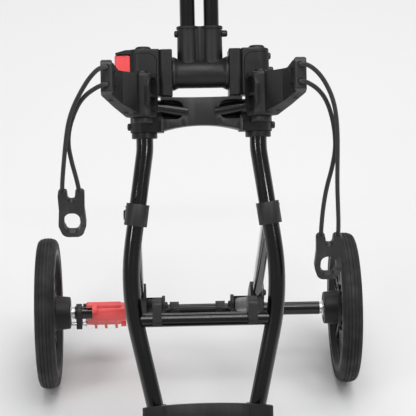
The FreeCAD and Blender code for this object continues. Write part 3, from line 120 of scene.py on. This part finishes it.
class Finish:
    """A procedural material under construction: a Principled shader and the nodes that feed it."""

    def __init__(self, name, colour, roughness, metallic=0.0, coat=0.0, sheen=0.0, specular=0.4):
        self.material = bpy.data.materials.new(name)
        self.material.use_nodes = True
        self.tree = self.material.node_tree
        self.shader = self.tree.nodes["Principled BSDF"]
        self.place = self.add("ShaderNodeTexCoord").outputs["Object"]
        self.colour = colour
        for socket, value in (("Base Color", (*colour, 1)), ("Roughness", roughness),
                              ("Metallic", metallic), ("Coat Weight", coat),
                              ("Coat Roughness", COAT_ROUGHNESS), ("Sheen Weight", sheen),
                              ("Specular IOR Level", specular)):
            self.shader.inputs[socket].default_value = value

    def add(self, kind, **settings):
        node = self.tree.nodes.new(kind)
        for key, value in settings.items():
            setattr(node, key, value)
        return node

    def link(self, source, target):
        self.tree.links.new(source, target)

    def noise(self, scale, detail=4.0, stretch=None):
        """Noise in the object's own frame, so many cells to the metre."""
        texture = self.add("ShaderNodeTexNoise")
        texture.inputs["Scale"].default_value = scale
        texture.inputs["Detail"].default_value = detail
        if stretch:
            mapping = self.add("ShaderNodeMapping")
            mapping.inputs["Scale"].default_value = stretch
            self.link(self.place, mapping.inputs["Vector"])
            self.link(mapping.outputs["Vector"], texture.inputs["Vector"])
        else:
            self.link(self.place, texture.inputs["Vector"])
        return texture.outputs["Fac"]

    def spread(self, source, low, high, start=0.3, end=0.7):
        """Maps start to end of a value onto low to high."""
        ranged = self.add("ShaderNodeMapRange")
        for socket, value in zip(("From Min", "From Max", "To Min", "To Max"), (start, end, low, high)):
            ranged.inputs[socket].default_value = value
        self.link(source, ranged.inputs["Value"])
        return ranged.outputs["Result"]

    def vary_roughness(self, source, low, high):
        self.link(self.spread(source, low, high), self.shader.inputs["Roughness"])
        return self

    def tint(self, source, other, start=0.35, end=0.65):
        """Mixes the colour so far towards another one, as a value goes from start to end."""
        mix = self.add("ShaderNodeMix", data_type="RGBA")
        socket = self.shader.inputs["Base Color"]
        if socket.is_linked:
            self.link(socket.links[0].from_socket, mix.inputs["A"])
        else:
            mix.inputs["A"].default_value = (*self.colour, 1)
        mix.inputs["B"].default_value = (*other, 1)
        self.link(self.spread(source, 0, 1, start, end), mix.inputs["Factor"])
        self.link(mix.outputs["Result"], socket)
        return self

    def lighter_convex_edges(self, other, start=0.52, end=0.62):
        """Lightens the colour on convex edges, found by their pointiness."""
        return self.tint(self.add("ShaderNodeNewGeometry").outputs["Pointiness"], other, start, end)

    def math(self, operation, *values):
        """One Math node; each value is a number or another node's output."""
        node = self.add("ShaderNodeMath", operation=operation)
        for socket, value in zip(node.inputs, values):
            if isinstance(value, (int, float)):
                socket.default_value = value
            else:
                self.link(value, socket)
        return node.outputs["Value"]

    def strands(self, pitch, lean):
        """Parallel ridges across an upright cord, one every pitch metres, leaning to one side."""
        split = self.add("ShaderNodeSeparateXYZ")
        self.link(self.place, split.inputs["Vector"])
        across = self.math("ADD", split.outputs["X"], split.outputs["Y"])
        phase = self.math("MULTIPLY_ADD", across, lean, split.outputs["Z"])
        return self.math("SINE", self.math("MULTIPLY", phase, math.tau / pitch))

    def bump(self, source, height, strength=1.0):
        """Relief in metres, added to any relief so far."""
        relief = self.add("ShaderNodeBump")
        relief.inputs["Distance"].default_value = height
        relief.inputs["Strength"].default_value = strength
        self.link(source, relief.inputs["Height"])
        socket = self.shader.inputs["Normal"]
        if socket.is_linked:
            self.link(socket.links[0].from_socket, relief.inputs["Normal"])
        self.link(relief.outputs["Normal"], socket)
        return self


def gloss_paint():
    """Black powder coat under a clear gloss, with a faint orange peel."""
    finish = Finish("gloss_black", (0.002, 0.002, 0.0022), 0.14, coat=0.4, specular=0.3)
    finish.vary_roughness(finish.noise(25), 0.12, 0.24)
    finish.bump(finish.noise(420, 2), 0.00002)
    return finish.tint(finish.noise(9, 6), (0.0045, 0.0045, 0.0048)).material


def stay_paint():
    """Dark grey anodised finish with fine lengthwise drawing marks."""
    finish = Finish("stay_grey", (0.045, 0.045, 0.048), 0.42, metallic=0.35)
    finish.vary_roughness(finish.noise(18), 0.36, 0.52)
    finish.bump(finish.noise(600, 3), 0.00005)
    # Paler where the edges are convex, by pointiness.
    return finish.lighter_convex_edges((0.11, 0.11, 0.115)).material


def moulded(name, colour, edge_colour, roughness):
    """Glass-filled nylon: satin, faintly pebbled, paler on its convex edges."""
    finish = Finish(name, colour, roughness[0])
    finish.vary_roughness(finish.noise(30, 5), *roughness)
    finish.bump(finish.noise(900, 3), 0.00007)
    finish.bump(finish.noise(70, 3), 0.00012)
    finish.tint(finish.noise(14, 6), tuple(PALER * part for part in colour))
    # Paler where the edges are convex, by pointiness.
    return finish.lighter_convex_edges(edge_colour).material


def red_moulding():
    finish = Finish("red", (0.95, 0.1, 0.104), 0.34, coat=0.15)
    finish.vary_roughness(finish.noise(40, 5), 0.3, 0.46)
    finish.bump(finish.noise(1000, 2), 0.00005)
    finish.tint(finish.noise(20, 4), (0.9, 0.08, 0.084))
    # Paler where the edges are convex, by pointiness.
    return finish.lighter_convex_edges((0.98, 0.17, 0.16)).material


def tyre_rubber():
    finish = Finish("tread", (0.0085, 0.0085, 0.009), 0.6)
    finish.vary_roughness(finish.noise(45, 6), 0.5, 0.8)
    finish.bump(finish.noise(1300, 4), 0.00012)
    return finish.tint(finish.noise(24, 8), (0.022, 0.0215, 0.021)).material


def foam():
    """Closed-cell foam with fine pores."""
    finish = Finish("foam", (0.016, 0.016, 0.017), 0.85, sheen=0.25)
    cells = finish.add("ShaderNodeTexVoronoi")
    cells.inputs["Scale"].default_value = 750
    finish.link(finish.place, cells.inputs["Vector"])
    finish.bump(cells.outputs["Distance"], 0.0004, 0.7)
    return finish.tint(finish.noise(60, 6), (0.03, 0.03, 0.031)).material


def metal(name, colour, roughness, grain=(1, 1, 1)):
    """Machined steel with turning marks."""
    finish = Finish(name, colour, roughness, metallic=1.0)
    marks = finish.noise(500, 3, grain)
    finish.vary_roughness(marks, roughness * SMOOTHER, roughness * ROUGHER)
    return finish.bump(marks, 0.00003).material


def cord_cover():
    """Braided sleeve of an elastic cord: two families of strands that cross."""
    finish = Finish("elastic", (0.009, 0.009, 0.0095), 0.7, sheen=0.2)
    strands = [finish.strands(BRAID_PITCH, lean) for lean in (1, -1)]
    braid = finish.math("MAXIMUM", *strands)
    finish.bump(braid, 0.00035)
    finish.bump(finish.noise(2400, 2), 0.0001)
    # Painted shade: the hollows between the strands are darker and their crests lighter, following the
    # relief.
    finish.tint(braid, (0.03, 0.03, 0.031), 0.2, 1.0)
    return finish.tint(finish.noise(35, 4), (0.014, 0.014, 0.0145)).material


MATERIALS = {
    "gloss_black": gloss_paint(),
    "stay_grey": stay_paint(),
    "satin_black": moulded("satin_black", (0.0095, 0.0095, 0.01), (0.04, 0.04, 0.0415), (0.36, 0.5)),
    "wheel_black": moulded("wheel_black", (0.008, 0.008, 0.0085), (0.03, 0.03, 0.031), (0.38, 0.52)),
    "tread": tyre_rubber(),
    "foam": foam(),
    "red": red_moulding(),
    "black_steel": metal("black_steel", (0.05, 0.05, 0.053), 0.38),
    "bright_steel": metal("bright_steel", (0.6, 0.6, 0.62), 0.26, (0.05, 1, 1)),
    "elastic": cord_cover(),
}


def finish_cad_nodes():
    """Every CAD node that stays takes the finish of its material slot."""
    for part in frame["record"]["subparts"]:
        mesh = nodes[part["node"]].data
        mesh.materials.clear()
        mesh.materials.append(MATERIALS[part["material_slot"]])


finish_cad_nodes()

# ------------------------------------------------------------------ soft edges on CAD nodes

# The nodes whose edges are rounded, by the width of the rounding in millimetres.
EDGE_WIDTHS = {
    1.5: ("handle_head", "foot_casting"),
    1.2: ("side_housing_l", "side_housing_r", "hub", "cradle", "knuckles"),
    1.0: ("leg_brackets", "bag_tray", "lower_cradle", "brake_pedal", "rear_rim_l", "rear_rim_r", "front_rim",
          "cord_clip_l", "cord_clip_r"),
    0.8: ("console", "front_fork", "leg_eyes", "crossbar_saddles", "brake_guide", "stay_feet", "stay_hooks"),
    0.6: ("console_lid", "accessory_socket", "release_button"),
    0.5: ("axle_caps", "tube_caps"),
    0.4: ("rear_bush_l", "rear_bush_r", "front_bush"),
}
WELD_GAP = 0.01 * MM
BEVEL_ANGLE, SHARP_ANGLE = math.radians(35), math.radians(38)


def soften(thing, width):
    """Rounds the sharp edges of a node or piece with modifiers, so that they catch the light."""
    weld = thing.modifiers.new("weld", "WELD")
    weld.merge_threshold = WELD_GAP
    bevel = thing.modifiers.new("edges", "BEVEL")
    bevel.width = width * MM
    bevel.segments = 2
    bevel.limit_method = "ANGLE"
    bevel.angle_limit = BEVEL_ANGLE
    bevel.harden_normals = True
    bevel.use_clamp_overlap = True


for width, names in EDGE_WIDTHS.items():
    for name in names:
        soften(nodes[name], width)

# ------------------------------------------------------------------ elastic cords

CORD_DIAMETER = 7 * MM
# The same points as the cords' solids, in metres.
CORD_ROUTE_R = (
    (-0.148, -0.0474, 0.8454), (-0.1485, -0.0635, 0.8535), (-0.160, -0.075, 0.855), (-0.174, -0.0845, 0.843),
    (-0.188, -0.0895, 0.821), (-0.199, -0.090, 0.798), (-0.207, -0.090, 0.774), (-0.2125, -0.0895, 0.742),
    (-0.2175, -0.0895, 0.702), (-0.221, -0.089, 0.672), (-0.2225, -0.0893, 0.649), (-0.222, -0.089, 0.626),
    (-0.195, -0.089, 0.626), (-0.1952, -0.0885, 0.649), (-0.199, -0.0855, 0.672), (-0.2055, -0.082, 0.700),
    (-0.210, -0.0795, 0.730), (-0.207, -0.0795, 0.757), (-0.199, -0.0805, 0.782), (-0.189, -0.082, 0.804),
    (-0.176, -0.0835, 0.819), (-0.161, -0.081, 0.828), (-0.149, -0.0748, 0.830), (-0.148, -0.0604, 0.8229),
)
CORD_ROUTE_L = (
    (0.148, -0.0474, 0.8454), (0.1485, -0.0635, 0.8535), (0.160, -0.075, 0.855), (0.175, -0.084, 0.844),
    (0.188, -0.089, 0.823), (0.197, -0.090, 0.799), (0.202, -0.090, 0.772), (0.205, -0.0895, 0.740),
    (0.2065, -0.0895, 0.700), (0.208, -0.089, 0.655), (0.211, -0.089, 0.614), (0.2132, -0.0892, 0.582),
    (0.213, -0.0894, 0.559), (0.2125, -0.089, 0.537), (0.1855, -0.089, 0.537), (0.1857, -0.0885, 0.559),
    (0.1862, -0.0865, 0.584), (0.1882, -0.084, 0.616), (0.1925, -0.082, 0.649), (0.200, -0.080, 0.682),
    (0.204, -0.079, 0.716), (0.201, -0.079, 0.748), (0.194, -0.080, 0.778), (0.185, -0.082, 0.802),
    (0.173, -0.0835, 0.819), (0.160, -0.081, 0.828), (0.149, -0.0748, 0.830), (0.148, -0.0604, 0.8229),
)


def elastic_cord(name, route, body, solid):
    """One elastic loop as a smooth round tube along its route."""
    curve = bpy.data.curves.new(name, "CURVE")
    curve.dimensions = "3D"
    spline = curve.splines.new("NURBS")
    spline.points.add(len(route) - 1)
    for point, place in zip(spline.points, route):
        point.co = (*place, 1)
    spline.order_u = 3
    spline.use_endpoint_u = True
    spline.resolution_u = 12
    curve.bevel_depth = CORD_DIAMETER / 2
    curve.bevel_resolution = 6
    curve.use_fill_caps = True
    cord = add_object(name, curve)
    curve.materials.append(MATERIALS["elastic"])
    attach(cord, body)
    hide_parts(solid)


elastic_cord("elastic_cord_r", CORD_ROUTE_R, "bag_arm_r", "cord_r")
elastic_cord("elastic_cord_l", CORD_ROUTE_L, "bag_arm_l", "cord_l")

# ------------------------------------------------------------------ pieces built face by face


def rows_joined(form, rows, closed):
    """Adds smooth faces between each row of vertices and the next; a closed row joins its own ends."""
    for row, following in zip(rows, rows[1:]):
        for i in range(len(row) if closed else len(row) - 1):
            j = (i + 1) % len(row)
            form.faces.new((row[i], row[j], following[j], following[i])).smooth = True


def piece_from(name, form, material, body, *replaced):
    """Turns a form into a piece that rides a body and stands for any CAD nodes named."""
    bmesh.ops.recalc_face_normals(form, faces=form.faces)
    mesh = bpy.data.meshes.new(name)
    form.to_mesh(mesh)
    form.free()
    mesh.materials.append(MATERIALS[material])
    piece = add_object(name, mesh)
    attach(piece, body)
    if replaced:
        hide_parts(*replaced)
    return piece


# ------------------------------------------------------------------ tyres

# Half of a tyre's section in millimetres: distance from its middle plane, depth below the tread.
TYRE_HALF_SECTION = (
    (0, 0.1), (2.4, 0.1), (2.8, 1.7), (4.4, 1.7), (4.8, 0.2), (8.0, 0.8), (8.4, 2.4), (10.0, 2.6),
    (10.4, 1.5), (13.2, 2.5), (15.6, 4.1), (17.5, 6.4), (18.6, 9.2), (18.9, 11.4), (18.1, 11.9),
    (18.1, 13.1), (18.8, 13.6), (18.5, 17.0), (18.0, 20.4), (17.2, 21.1), (10.2, 22.8),
)
TYRE_STEPS = 160


def tyre(name, solid, body):
    """A ribbed solid tyre: its section swept round the axle, which runs along X."""
    low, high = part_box(solid)
    centre, radius = (low + high) / 2, (high.z - low.z) / 2
    half = [(across * MM, radius - deep * MM) for across, deep in TYRE_HALF_SECTION]
    section = half + [(-across, out) for across, out in reversed(half[1:])]
    form = bmesh.new()
    rings = []
    for step in range(TYRE_STEPS):
        angle = math.tau * step / TYRE_STEPS
        outward = Vector((0, math.cos(angle), math.sin(angle)))
        rings.append([form.verts.new(centre + outward * out + Vector((across, 0, 0)))
                      for across, out in section])
    rows_joined(form, rings + rings[:1], closed=True)
    piece = piece_from(name, form, "tread", body, solid)
    piece.data.set_sharp_from_angle(angle=SHARP_ANGLE)


for wheel in ("rear_wheel_l", "rear_wheel_r", "front_wheel"):
    solid = wheel.replace("wheel", "tyre")
    tyre(f"ribbed_{solid}", solid, wheel)

# ------------------------------------------------------------------ raised panels on the housings

# Millimetres from the hinge, along the frame's own axes.
PANEL_LOW, PANEL_HIGH, PANEL_INNER = -30, 31, 72
PANEL_ROUND, PANEL_PROUD, PANEL_EDGE = 14, 1.6, 0.5
# A dark gloss plate just under each panel and a little wider than it: painted shade of the groove round the
# panel.
GROOVE_SHADE_PROUD, GROOVE_SHADE_WIDTH = 0.4, 1.3
PLATE_SUNK, PLATE_STEPS = 0.6, 24
HOUSING_FRONT, HOUSING_ROUND = 29, 20
# Each housing: name, side, distance of its outer face, developed width of its panel.
HOUSINGS = (("r", -1, 118, 32), ("l", 1, 112, 43))


def round_housing(distance, housing_end, lift):
    """A place in plan, so far along a housing's front and round its outer corner."""
    straight = housing_end - HOUSING_ROUND - PANEL_INNER
    if distance <= straight:
        return PANEL_INNER + distance, HOUSING_FRONT + lift
    turn = (distance - straight) / HOUSING_ROUND
    radius = HOUSING_ROUND + lift
    return (housing_end - HOUSING_ROUND + radius * math.sin(turn),
            HOUSING_FRONT - HOUSING_ROUND + radius * math.cos(turn))


def plate_skin(form, side, housing_end, wide, lift, margin):
    """Rows of vertices over a housing's front, each row from its rounded inner edge outwards."""
    low, high, corner = PANEL_LOW - margin, PANEL_HIGH + margin, PANEL_ROUND + margin
    rows = []
    for step in range(PLATE_STEPS + 1):
        along = low + (high - low) * (1 - math.cos(math.pi * step / PLATE_STEPS)) / 2
        into = corner - min(along - low, high - along, corner)
        start = corner - math.sqrt(corner ** 2 - into ** 2) - margin
        stride = (wide + margin - start) / PLATE_STEPS
        places = [round_housing(start + stride * i, housing_end, lift) for i in range(PLATE_STEPS + 1)]
        rows.append([form.verts.new(on_frame(side * across, forward, along)) for across, forward in places])
    return rows


def rim_of(rows):
    """The vertices round the outside of a skin, in order."""
    return (rows[0] + [row[-1] for row in rows[1:-1]] + rows[-1][::-1]
            + [row[0] for row in rows[-2:0:-1]])


def housing_plate(name, material, side, housing_end, wide, proud, margin):
    """A thin plate with a rounded inner edge, wrapped round the front of a housing."""
    form = bmesh.new()
    skins = [plate_skin(form, side, housing_end, wide, lift, margin) for lift in (-PLATE_SUNK, proud)]
    for rows in skins:
        rows_joined(form, rows, closed=False)
    rows_joined(form, [rim_of(rows) for rows in skins], closed=True)
    piece = piece_from(name, form, material, "frame")
    piece.data.set_sharp_from_angle(angle=SHARP_ANGLE)
    return piece


for end, side, housing_end, wide in HOUSINGS:
    # Painted shade: a dark plate wider than the panel shows as a dark line, standing in for the groove round
    # it.
    housing_plate(f"housing_groove_shade_{end}", "gloss_black", side, housing_end, wide, GROOVE_SHADE_PROUD, GROOVE_SHADE_WIDTH)
    panel = housing_plate(f"housing_panel_{end}", "satin_black", side, housing_end, wide, PANEL_PROUD, 0)
    soften(panel, PANEL_EDGE)

# ------------------------------------------------------------------ coil spring behind the red button

WIRE_RADIUS, SPRING_TURNS, TURN_STEPS, WIRE_SIDES = 0.6 * MM, 6.5, 28, 8


def coil_spring(name, solid, body):
    """A helix of round wire along X in the place of its solid."""
    low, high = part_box(solid)
    centre = (low + high) / 2
    radius = (high.y - low.y) / 2 - WIRE_RADIUS
    first, last = low.x + WIRE_RADIUS, high.x - WIRE_RADIUS
    pitch = (last - first) / SPRING_TURNS
    section = [math.tau * i / WIRE_SIDES for i in range(WIRE_SIDES)]
    form = bmesh.new()
    rings = []
    for step in range(round(SPRING_TURNS * TURN_STEPS) + 1):
        turns = step / TURN_STEPS
        angle = math.tau * turns
        outward = Vector((0, math.cos(angle), math.sin(angle)))
        place = Vector((first + pitch * turns, centre.y, centre.z)) + outward * radius
        along = Vector((pitch / math.tau, -radius * math.sin(angle), radius * math.cos(angle)))
        aside = along.normalized().cross(outward)
        rings.append([form.verts.new(place + (outward * math.cos(a) + aside * math.sin(a)) * WIRE_RADIUS)
                      for a in section])
    rows_joined(form, rings, closed=True)
    form.faces.new(rings[0])
    form.faces.new(rings[-1])
    piece = piece_from(name, form, "bright_steel", body, solid)
    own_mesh(piece)


coil_spring("coil_spring", "button_spring", "frame")

# ------------------------------------------------------------------ floor and light

FLOOR_HALF, FLOOR_TONE, FLOOR_ROUGHNESS = 30.0, 0.84, 0.9
SUN_PLACE, SUN_POWER, SUN_SPREAD = (0.4, -0.5, 3), 1.55, math.radians(50)
WORLD_COLOUR, WORLD_STRENGTH = (0.93, 0.93, 0.94, 1), 0.36
# Soft lamps aimed at the middle of the view: name, place, width and height, power.
SOFT_LAMPS = (
    ("key", (-1.6, -1.9, 3.3), (1.2, 0.5), 16),
    ("fill", (1.9, -1.2, 2.9), (1.0, 0.5), 10),
    ("back", (0.3, 2.6, 2.4), (2.0, 0.8), 14),
)
# Wide, low lamps in front of the frame: name, degrees round from its front.
STROKE_LAMPS = (("stroke_left", -42), ("stroke_right", 25))
STROKE_AWAY, STROKE_DOWN, STROKE_AIM_DOWN = 1800, 100, 150
STROKE_SIZE, STROKE_POWER = (0.3, 0.07), 2.2
STRIP_FORWARD, STRIP_UP, STRIP_SIZE, STRIP_POWER = 1500, 1100, (0.9, 0.08), 5


def add_floor():
    mesh = bpy.data.meshes.new("floor")
    corners = [(x * FLOOR_HALF, y * FLOOR_HALF, 0) for x, y in ((-1, -1), (1, -1), (1, 1), (-1, 1))]
    mesh.from_pydata(corners, [], [(0, 1, 2, 3)])
    mesh.materials.append(Finish("floor", (FLOOR_TONE,) * 3, FLOOR_ROUGHNESS).material)
    floor = add_object("floor", mesh)


def add_sun():
    data = bpy.data.lights.new("overhead", "SUN")
    data.energy = SUN_POWER
    data.angle = SUN_SPREAD
    aim(add_object("overhead", data), Vector(SUN_PLACE), Vector())


def add_lamp(name, place, target, size, power):
    data = bpy.data.lights.new(name, "AREA")
    data.shape = "RECTANGLE"
    data.size, data.size_y = size
    data.energy = power
    aim(add_object(name, data), Vector(place), target)


def add_lamps():
    for name, place, size, power in SOFT_LAMPS:
        add_lamp(name, place, on_frame(0, 0, -VIEW_DOWN), size, power)
    # These put the short bright strokes on the gloss tubes, and the strip lights the bars across them.
    for name, degrees in STROKE_LAMPS:
        turn = math.radians(degrees)
        place = on_frame(STROKE_AWAY * math.sin(turn), STROKE_AWAY * math.cos(turn), -STROKE_DOWN)
        add_lamp(name, place, on_frame(0, 0, -STROKE_AIM_DOWN), STROKE_SIZE, STROKE_POWER)
    add_lamp("strip", on_frame(0, STRIP_FORWARD, STRIP_UP), HINGE, STRIP_SIZE, STRIP_POWER)


def set_world():
    world = bpy.data.worlds.new("studio")
    world.use_nodes = True
    background = world.node_tree.nodes["Background"]
    background.inputs["Color"].default_value = WORLD_COLOUR
    background.inputs["Strength"].default_value = WORLD_STRENGTH
    scene.world = world
    scene.view_settings.view_transform = "Standard"


add_floor()
add_sun()
add_lamps()
set_world()
